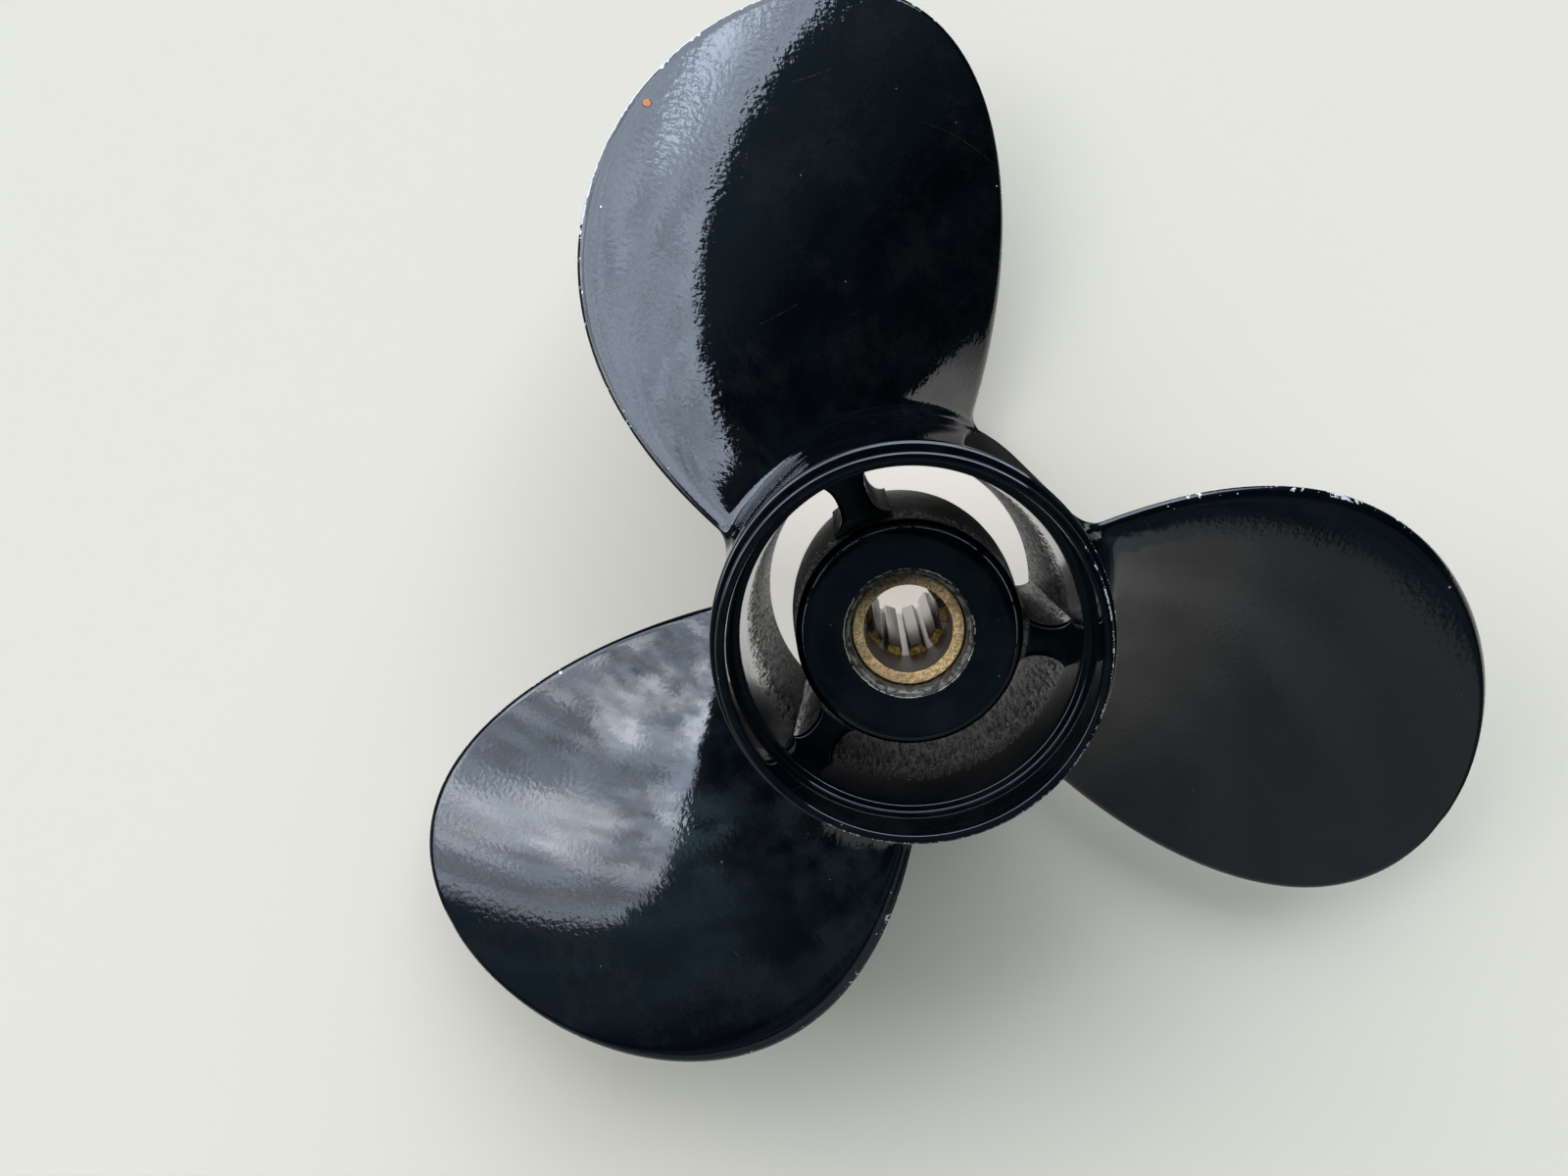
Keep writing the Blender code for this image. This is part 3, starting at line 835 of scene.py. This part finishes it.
def room_light(lights):
    """Soft light all round: a large bluish screen, a pale card below, grey and dark walls."""
    world = bpy.data.worlds.new("studio_room")
    world.use_nodes = True
    world.node_tree.nodes.clear()
    graph = Graph(world.node_tree)
    step, blend, noise = graph.step, graph.blend, graph.noise
    way = graph.node("ShaderNodeTexCoord", None, None, output=0)
    x, y, z = graph.parts(way)
    middle = radians(MIDDLE_AZIMUTH)
    c, s = np.cos(middle), np.sin(middle)
    turn = graph.maths("ARCTAN2", y * c - x * s, x * c + y * s)
    # azimuth, and how far a direction rises over the horizon, both in degrees
    turn = turn * np.degrees(1) + MIDDLE_AZIMUTH
    rise = graph.maths("ARCSINE", z) * np.degrees(1)
    uneven = noise(way, 26, 1, 0.6) - 0.5
    # the large screen, from its straight side to its slanting one
    side = turn + rise * 0.09 + uneven * 3
    flat_end = -3 - 20 * step(turn, 69, 75) * step(turn, 114, 104)
    low_end = higher((turn - 128.7) * 0.6, flat_end) + uneven * 3
    screen = step(side, 50, 50.8) * step(rise - low_end, -0.4, 0.4)
    screen *= step(rise, 60, 52) * step(turn + uneven * 4, 178.4, 177.2)
    cloud = noise(graph.scaled(way, (1, 1, 1.5)), 5, 3, 0.58)
    cloudy = step(turn, 96, 116)
    puff = step(cloud, 0.42, 0.66)
    level = mix(4.3 + step(rise, 8, 28) * 1.4, 3 + puff * 4.6, cloudy)
    level *= 1 + uneven * 1.5
    rim_light = step(rise - low_end, 7, 2) * step(abs(turn - 148), 18, 10)
    level += rim_light * (2.4 + puff * 4)
    spot = graph.vector(turn, rise, 0)
    patches = 0
    for place, height, reach, gain in BRIGHT_PATCHES:
        gap = graph.distance(spot, (place, height, 0))
        patches += step(gap, reach * 1.5, reach * 0.2) * gain
    level += patches * (0.5 + puff * 0.8)
    glow = blend(puff * cloudy * 0.7, (0.84, 0.98, 1.19), (0.97, 1, 1.06))
    glow = graph.times(glow, level * lights.window)
    # dark walls, a little lighter to the left
    murk = noise(way, 7, 2, 0.6)
    dim = (0.024 + step(turn, 60, 180) * 0.066) * (0.3 + step(murk, 0.35, 0.7) * 2.2)
    dim *= 0.42 + step(rise, 85, 55) * 0.58
    dim += step(turn, -30, -42) * murk * 0.17
    lifted = step(side, 20, 50) * step(rise, 5, 30) * step(rise, 58, 44)
    dim += lifted * 0.26 * step(turn, 200, 176)
    brush = graph.distance(spot, (163, 17, 0))
    dim += step(brush, 11, 3) * step(murk, 0.42, 0.62) * 0.45
    walls = graph.times((0.55, 0.95, 1.22), dim * lights.walls)
    grey = graph.times((0.82, 0.98, 1.06), lights.wall * 0.42)
    grey_side = step(turn - rise * 0.05 + uneven * 3, -54, -56)
    # the pale card, brighter to the right and dimmer away from the middle
    start = MIDDLE_AZIMUTH - 180
    stops = [((place - start) / 360, (top - CARD_LOW) / CARD_SPAN) for place, top in CARD_EDGE]
    lean = turn - lower(rise - 9, 0) * 0.16 + uneven * 3
    card_edge = graph.node("ShaderNodeValToRGB", {"stops": stops}, {0: (lean - start) / 360})
    card = step(rise - (card_edge * CARD_SPAN + CARD_LOW) + uneven * 2, 0.6, -0.6)
    # its part to the right
    far_side = step(turn, -40, -55)
    far_level = 0.4 + step(rise, 12, -6) * 0.1 + step(turn, -66, -57) * 0.06
    streak = step(abs(turn + 71 + (rise - 12) * 0.12), 7, 1)
    far_level += streak * step(rise, 24, 14) * 0.14
    far_level = far_level - step(turn, -92, -112) * 0.1
    near_side = 0.6 + step(rise, 2, -10) * step(abs(turn + 6), 30, 16) * 0.65
    card_level = mix(near_side, far_level, far_side) * (0.72 + murk * 0.56)
    # straight down it is brighter, but for the part's own shadow
    deep = step(rise, -50, -60)
    shadow = deep * step(abs(turn - 18), 42, 30)
    card_level = (card_level + deep * 0.2) * (1 - shadow * 0.985)
    far_side *= step(rise, -4, 12)
    pale = blend(far_side, (1, 1, 0.97), (0.8, 0.95, 1.07))
    pale = graph.times(pale, card_level * lights.card)
    # mixed as shaders, so that only the part that is looked at is worked out
    lit = graph.node("ShaderNodeBackground", None, {"Color": walls})
    layers = (screen, glow), (grey_side * step(rise, 44, 36), grey), (card, pale)
    for mask, colour in layers:
        layer = graph.node("ShaderNodeBackground", None, {"Color": colour})
        lit = graph.node("ShaderNodeMixShader", None, {0: mask, 1: lit, 2: layer})
    graph.node("ShaderNodeOutputWorld", None, {"Surface": lit})
    return world


# What a user would change


def length(label, text, default):
    return bpy.props.FloatProperty(
        name=label, description=text, default=default, min=0, unit="LENGTH", precision=5
    )


def tint(label, text, default):
    return bpy.props.FloatVectorProperty(
        name=label, description=text, default=default, size=3, min=0, max=1, subtype="COLOR"
    )


def strength(label, text):
    about = f"Strength of the {text}"
    return bpy.props.FloatProperty(name=label, description=about, default=1, min=0)


class PropellerSizes(bpy.types.PropertyGroup):
    tip_radius: length("Tip Radius", "Half the propeller's diameter", 0.1288)
    pitch: length("Pitch", "Advance of the blades' screw surface in one turn", 0.3234)
    root_thickness: length("Root Thickness", "Blade thickness at the barrel", 0.0085)
    tip_thickness: length("Tip Thickness", "Blade thickness at the tip", 0.003)
    edge_thickness: length("Edge Thickness", "Blade thickness at its edges", 0.0022)
    edge_round: length("Edge Round", "Width over which an edge is rounded off", 0.0016)
    edge_roll: length("Trailing Edge Roll", "How far the trailing edge rolls off the aft face", 0.0003)
    root_fillet: length("Root Fillet", "Fillet between blade and barrel", 0.0038)
    edge_fillet: length("Edge Fillet", "Fillet at the blade's ends on the barrel", 0.004)
    lip_wall: length("Lip Wall", "Thickness of the barrel's aft lip", 0.0016)


class PropellerColours(bpy.types.PropertyGroup):
    paint: tint("Paint", "Gloss paint of the casting", (0.0008, 0.0011, 0.0018))
    aluminium: tint("Bare Metal", "Aluminium where the paint is gone", (0.62, 0.61, 0.6))
    cast_dark: tint("Cast Skin, Dark", "Rough cast skin in the passages", (0.003, 0.003, 0.003))
    cast_light: tint("Cast Skin, Light", "Grains of the cast skin", (0.06, 0.057, 0.053))
    brass: tint("Brass", "Splined sleeve", (0.52, 0.29, 0.12))
    rubber: tint("Rubber", "Bush between sleeve and hub", (0.02, 0.02, 0.02))
    floor: tint("Floor", "Studio floor", (0.66, 0.65, 0.61))


class PropellerLights(bpy.types.PropertyGroup):
    window: strength("Large Screen", "large soft screen")
    card: strength("Pale Card", "pale card that the gloss mirrors below")
    wall: strength("Grey Wall", "grey wall on the other side")
    walls: strength("Dark Walls", "dark walls")


# Pieces


def barrel_outline(sizes):
    groove_top = SHOULDER_Z + GROOVE_WIDTH
    groove_radius = LIP_RADIUS - GROOVE_DEPTH
    throat_radius = PASSAGE_RADIUS - PASSAGE_DRAFT * (1 - THROAT_Z / RECESS_FLOOR_Z)
    inside = LIP_RADIUS - sizes.lip_wall
    corners = [
        (inside, HUB_LENGTH, 0.0003),
        (LIP_RADIUS, HUB_LENGTH, 0.0006),
        (LIP_RADIUS, groove_top + GROOVE_DEPTH, 0.0004),
        (groove_radius, groove_top, 0.0004),
        (groove_radius, SHOULDER_Z, 0.0003),
        (SHOULDER_RADIUS, SHOULDER_Z, 0.0009),
        (FRONT_RADIUS, 0, 0.0009),
        (FRONT_INSIDE_RADIUS, 0, 0.0007),
        (FRONT_INSIDE_RADIUS, FRONT_RECESS_DEPTH, 0.0012),
        (throat_radius, THROAT_Z, 0.0016),
        (PASSAGE_RADIUS, RECESS_FLOOR_Z, 0.0003),
        (inside, RECESS_FLOOR_Z, 0.0003),
    ]
    return divided(rounded(corners), 0.0024)


def inner_outline():
    corners = [
        (LAND_RADIUS + BORE_CHAMFER, INNER_AFT_Z, 0.0003),
        (INNER_AFT_RADIUS, INNER_AFT_Z, 0.0018),
        (INNER_RADIUS, SWELL_Z, 0.3),
        (INNER_FRONT_RADIUS, INNER_FRONT_Z, 0.0018),
        (BUSH_BORE, INNER_FRONT_Z, 0.0006),
        (BUSH_BORE, BUSH_STOP_Z, 0.0003),
        (LAND_RADIUS, BUSH_STOP_Z, 0.0003),
        (LAND_RADIUS, INNER_AFT_Z - BORE_CHAMFER, 0.0002),
    ]
    return divided(rounded(corners), 0.003)


def inner_radius(z):
    if z > SWELL_Z:
        share = (z - SWELL_Z) / (INNER_AFT_Z - INNER_EDGE - SWELL_Z)
        return mix(INNER_RADIUS, INNER_AFT_RADIUS, min(share, 1))
    share = (SWELL_Z - z) / (SWELL_Z - INNER_FRONT_Z - INNER_EDGE)
    return mix(INNER_RADIUS, INNER_FRONT_RADIUS, min(share, 1))


def rib_rings(arc_steps=8, edge=0.0011):
    """Sections of one rib along +X, flared into both walls, with rounded ends."""
    rises = [edge * (1 - np.cos(np.pi / 2 * k / 5)) for k in range(6)]
    ends = [(rise, edge - np.sqrt(edge**2 - (edge - rise) ** 2)) for rise in rises]
    levels = [(RIB_FRONT_Z + rise, inset) for rise, inset in ends]
    levels += [(mix(RIB_FRONT_Z, RIB_AFT_Z, share), 0) for share in (0.25, 0.5, 0.75)]
    levels += [(RIB_AFT_Z - rise, inset) for rise, inset in reversed(ends)]
    rings = []
    for level, inset in levels:
        inside = inner_radius(level)
        outside = PASSAGE_RADIUS - PASSAGE_DRAFT * (1 - level / RECESS_FLOOR_Z)
        half = RIB_WIDTH / 2 - inset
        depth = (outside - inside) * 0.45
        fillet = min(RIB_FILLET, depth) + inset
        quarter = np.linspace(0, np.pi / 2, arc_steps + 1)
        rise, fall = 1 - np.cos(quarter), 1 - np.sin(quarter)
        near, far = inside - RIB_SINK, outside + RIB_SINK
        side = [(near, half + fillet)]
        side += zip(inside + depth * rise, half + fillet * fall)
        side += zip(outside - depth * fall, half + fillet * rise)
        side += [(far, half + fillet)]
        ring = [(near, 0, level), *((x, y, level) for x, y in side), (far, 0, level)]
        ring += [(x, -y, level) for x, y in reversed(side)]
        rings.append(ring)
    return rings


def blade_attributes(mesh, sizes):
    """Stores each point's distance from the blade's edge, and how worn, dull and rippled it is."""
    far_off = 60.0
    skin_reach = 0.016
    wear_starts, wear_whole = 0.042, 0.052
    count = len(mesh.vertices)
    points = np.empty(count * 3, np.float32)
    mesh.vertices.foreach_get("co", points)
    x, y, z = points.reshape(-1, 3).T.astype(float)
    radius = np.hypot(x, y)
    stored = {
        "edge_gap": np.full(count, far_off),
        "edge_wear": np.zeros(count),
        "satin": np.zeros(count),
        "ripple": np.where(z > INNER_AFT_Z - 0.002, 0.12, 0.5),
    }
    # the second blade is worn most along its trailing edge near the tip
    dullness = (0.7, 0, 0.1)
    rippled = (0.75, 1, 0.45)
    wear = [
        0.18 + 0.26 * np.clip(1 - np.abs(x - 0.08) / 0.016, 0, 1) * (y > 0),
        0.2 + 0.8 * np.clip((y - 0.07) / 0.01, 0, 1) * (x < -0.028),
        np.full(count, 0.18),
    ]
    for blade in range(BLADES):
        turn = np.arctan2(y, x) - BLADE_TURN - 2 * np.pi * blade / BLADES
        turn = (turn + np.pi) % (2 * np.pi) - np.pi
        slope = np.arctan(sizes.pitch / (2 * np.pi) / np.maximum(radius, 1e-3))
        angle = turn
        for _ in range(4):
            offset = (z - blade_face(sizes, radius, angle)) / np.cos(slope)
            angle = turn + offset * np.sin(slope) / np.maximum(radius, 1e-3)
        middle, half = blade_angles(sizes, radius)
        reach = (angle - middle) / np.maximum(half, 1e-4)
        reach = np.clip(np.where(reach > 0, reach / (1 - TRAILING_TRIM), reach), -1, 1)
        near = (radius > barrel_radius(z) + 0.0012) & (np.abs(offset) < skin_reach)
        near &= np.abs(angle - middle) < half + 0.12
        gap = MM * edge_distance(sizes, radius, reach, half)
        clear = np.clip((radius - wear_starts) / (wear_whole - wear_starts), 0, 1)
        ripple = mix(0.5, rippled[blade], clear)
        found = (gap, wear[blade] * clear, dullness[blade] * clear, ripple)
        for values, there in zip(stored.values(), found):
            values[near] = there[near]
    for name, values in stored.items():
        layer = mesh.attributes.new(name, "FLOAT", "POINT")
        layer.data.foreach_set("value", values.astype(np.float32))


class PROPELLER_OT_casting(bpy.types.Operator):
    """Makes the casting: barrel, inner hub, three ribs and three blades in one closed skin"""

    bl_idname = "propeller.casting"
    bl_label = "Casting"

    def execute(self, context):
        sizes = context.scene.propeller_sizes
        paint = paint_material(context.scene.propeller_colours)
        casting = turned("painted_casting", barrel_outline(sizes), BARREL_SIDES)
        inner = turned("inner_hub_skin", inner_outline(), INNER_SIDES)
        ribs = skinned("rib_skins", rib_rings())
        values = {"Count": RIBS, "First Turn": BLADE_TURN, "Material": paint}
        grown(ribs, ring_tree(), values)
        blades = new_object("blade_skins", bpy.data.meshes.new("blade_skins"))
        values = {label_of(name): getattr(sizes, name) for name in BLADE_SIZES}
        values |= {"Count": BLADES, "First Turn": BLADE_TURN, "Material": paint}
        values |= {"Columns": BLADE_COLUMNS + 1, "Rows": BLADE_ROWS}
        grown(blades, blade_tree(), values)
        united(casting, inner, ribs, blades)
        blade_attributes(casting.data, sizes)
        shade(casting, paint, 40)
        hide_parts("propeller_casting")
        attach(casting, "root")
        return {"FINISHED"}


class PROPELLER_OT_sleeve(bpy.types.Operator):
    """Makes the brass sleeve with its ten spline teeth"""

    bl_idname = "propeller.sleeve"
    bl_label = "Splined Sleeve"

    def execute(self, context):
        brass = brass_material(context.scene.propeller_colours)
        corners = [
            (SPLINE_RADIUS, SLEEVE_AFT_Z, 0.0003),
            (SLEEVE_AFT_RADIUS, SLEEVE_AFT_Z, 0.0003),
            (SLEEVE_AFT_RADIUS, SLEEVE_STEP_Z, 0.0002),
            (SLEEVE_RADIUS, SLEEVE_STEP_Z, 0.0002),
            (SLEEVE_RADIUS, SLEEVE_FRONT_Z, 0.0006),
            (SPLINE_RADIUS + THRUST_CONE, SLEEVE_FRONT_Z, 0.0003),
            (SPLINE_RADIUS, SLEEVE_FRONT_Z + THRUST_CONE * 2, 0.0004),
        ]
        sleeve = turned("machined_sleeve", divided(rounded(corners), 0.003), SLEEVE_SIDES)
        tip = SPLINE_RADIUS - TOOTH_HEIGHT
        corner = 0.0003
        side = [
            (SPLINE_RADIUS + 0.0007, TOOTH_ROOT_WIDTH * 0.56, 0),
            (SPLINE_RADIUS - 0.0001, TOOTH_ROOT_WIDTH / 2, corner),
            (tip, TOOTH_TIP_WIDTH / 2, corner),
        ]
        other = [(x, -y, r) for x, y, r in side]
        section = [other[0], *side, (tip - 0.00002, 0, 0), *other[:0:-1]]
        outline = rounded(section, 3)
        centre = Vector((SPLINE_RADIUS, 0))
        rings = []
        bevel = 0.0004
        levels = (TOOTH_FRONT_Z, TOOTH_FRONT_Z + bevel, TOOTH_AFT_Z - bevel, TOOTH_AFT_Z)
        for level, shrink in zip(levels, (0.12, 0, 0, 0.12)):
            rings.append([(*p.lerp(centre, shrink), level) for p in outline])
        teeth = skinned("spline_tooth_skins", rings)
        values = {"Count": TEETH, "First Turn": TOOTH_TURN, "Material": brass}
        grown(teeth, ring_tree(), values)
        united(sleeve, teeth)
        shade(sleeve, brass, 35)
        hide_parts("splined_sleeve")
        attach(sleeve, "root")
        return {"FINISHED"}


class PROPELLER_OT_bush(bpy.types.Operator):
    """Makes the rubber bush that sits between the sleeve and the inner hub"""

    bl_idname = "propeller.bush"
    bl_label = "Rubber Bush"

    def execute(self, context):
        rubber = rubber_material(context.scene.propeller_colours)
        waist = 0.0006
        corners = [
            (BUSH_INSIDE, BUSH_AFT_Z, 0.0004),
            (BUSH_OUTSIDE, BUSH_AFT_Z, 0.0009),
            (BUSH_OUTSIDE, BUSH_FRONT_Z, 0.0009),
            (BUSH_OUTSIDE - 0.0014, BUSH_FRONT_Z, 0.0006),
            ((BUSH_INSIDE + BUSH_OUTSIDE) / 2, BUSH_FRONT_Z + waist, 0.004),
            (BUSH_INSIDE + 0.001, BUSH_FRONT_Z, 0.0006),
            (BUSH_INSIDE, BUSH_FRONT_Z, 0.0004),
        ]
        bush = turned("moulded_bush", divided(rounded(corners), 0.004), SLEEVE_SIDES)
        shade(bush, rubber, 40)
        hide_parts("rubber_bush")
        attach(bush, "root")
        return {"FINISHED"}


def staged(name, material, make, **shape):
    """A floor or wall from one bmesh operator, seen by the camera alone, so it blocks no light."""
    bm = bmesh.new()
    make(bm, **shape)
    made = from_bmesh(name, bm)
    made.data.materials.append(material)
    made.visible_glossy = made.visible_diffuse = made.visible_shadow = False


class PROPELLER_OT_stage(bpy.types.Operator):
    """Makes the plain floor, the soft light all round and the camera"""

    bl_idname = "propeller.stage"
    bl_label = "Floor, Light And Camera"

    def execute(self, context):
        scene = context.scene
        floor = floor_material(scene.propeller_colours)
        circle = bmesh.ops.create_circle
        staged("studio_floor", floor, circle, cap_ends=True, segments=96, radius=FLOOR_REACH)
        wall = wall_material(scene.propeller_colours)
        ball = bmesh.ops.create_uvsphere
        staged("studio_wall", wall, ball, u_segments=48, v_segments=24, radius=WALL_REACH)
        scene.world = room_light(scene.propeller_lights)
        camera = bpy.data.cameras.new("studio_camera")
        camera.lens = CAMERA_LENS
        camera.sensor_width = CAMERA_SENSOR
        camera.clip_start = CAMERA_NEAR
        viewer = new_object("studio_camera", camera)
        viewer.location = CAMERA_PLACE
        viewer.rotation_euler = CAMERA_TURN
        scene.camera = viewer
        scene.view_settings.view_transform = "Standard"
        return {"FINISHED"}


class VIEW3D_PT_propeller(bpy.types.Panel):
    """Lists the propeller's operators with the sizes and colours that they read"""

    bl_label = "Outboard Propeller"
    bl_space_type = "VIEW_3D"
    bl_region_type = "UI"
    bl_category = "Propeller"

    def draw(self, context):
        scene = context.scene
        for group in (getattr(scene, name) for name in GROUPS):
            box = self.layout.box()
            for name in group.__annotations__:
                box.prop(group, name)
        for operator in OPERATORS:
            self.layout.operator(operator.bl_idname)


OPERATORS = (PROPELLER_OT_casting, PROPELLER_OT_sleeve, PROPELLER_OT_bush, PROPELLER_OT_stage)
GROUPS = {
    "propeller_sizes": PropellerSizes,
    "propeller_colours": PropellerColours,
    "propeller_lights": PropellerLights,
}
CLASSES = (*GROUPS.values(), *OPERATORS, VIEW3D_PT_propeller)


def register():
    for kind in CLASSES:
        bpy.utils.register_class(kind)
    for name, group in GROUPS.items():
        setattr(bpy.types.Scene, name, bpy.props.PointerProperty(type=group))


def unregister():
    for name in GROUPS:
        delattr(bpy.types.Scene, name)
    for kind in reversed(CLASSES):
        bpy.utils.unregister_class(kind)


def main():
    register()
    bpy.ops.propeller.casting()
    bpy.ops.propeller.sleeve()
    bpy.ops.propeller.bush()
    bpy.ops.propeller.stage()


if __name__ == "__main__":
    main()
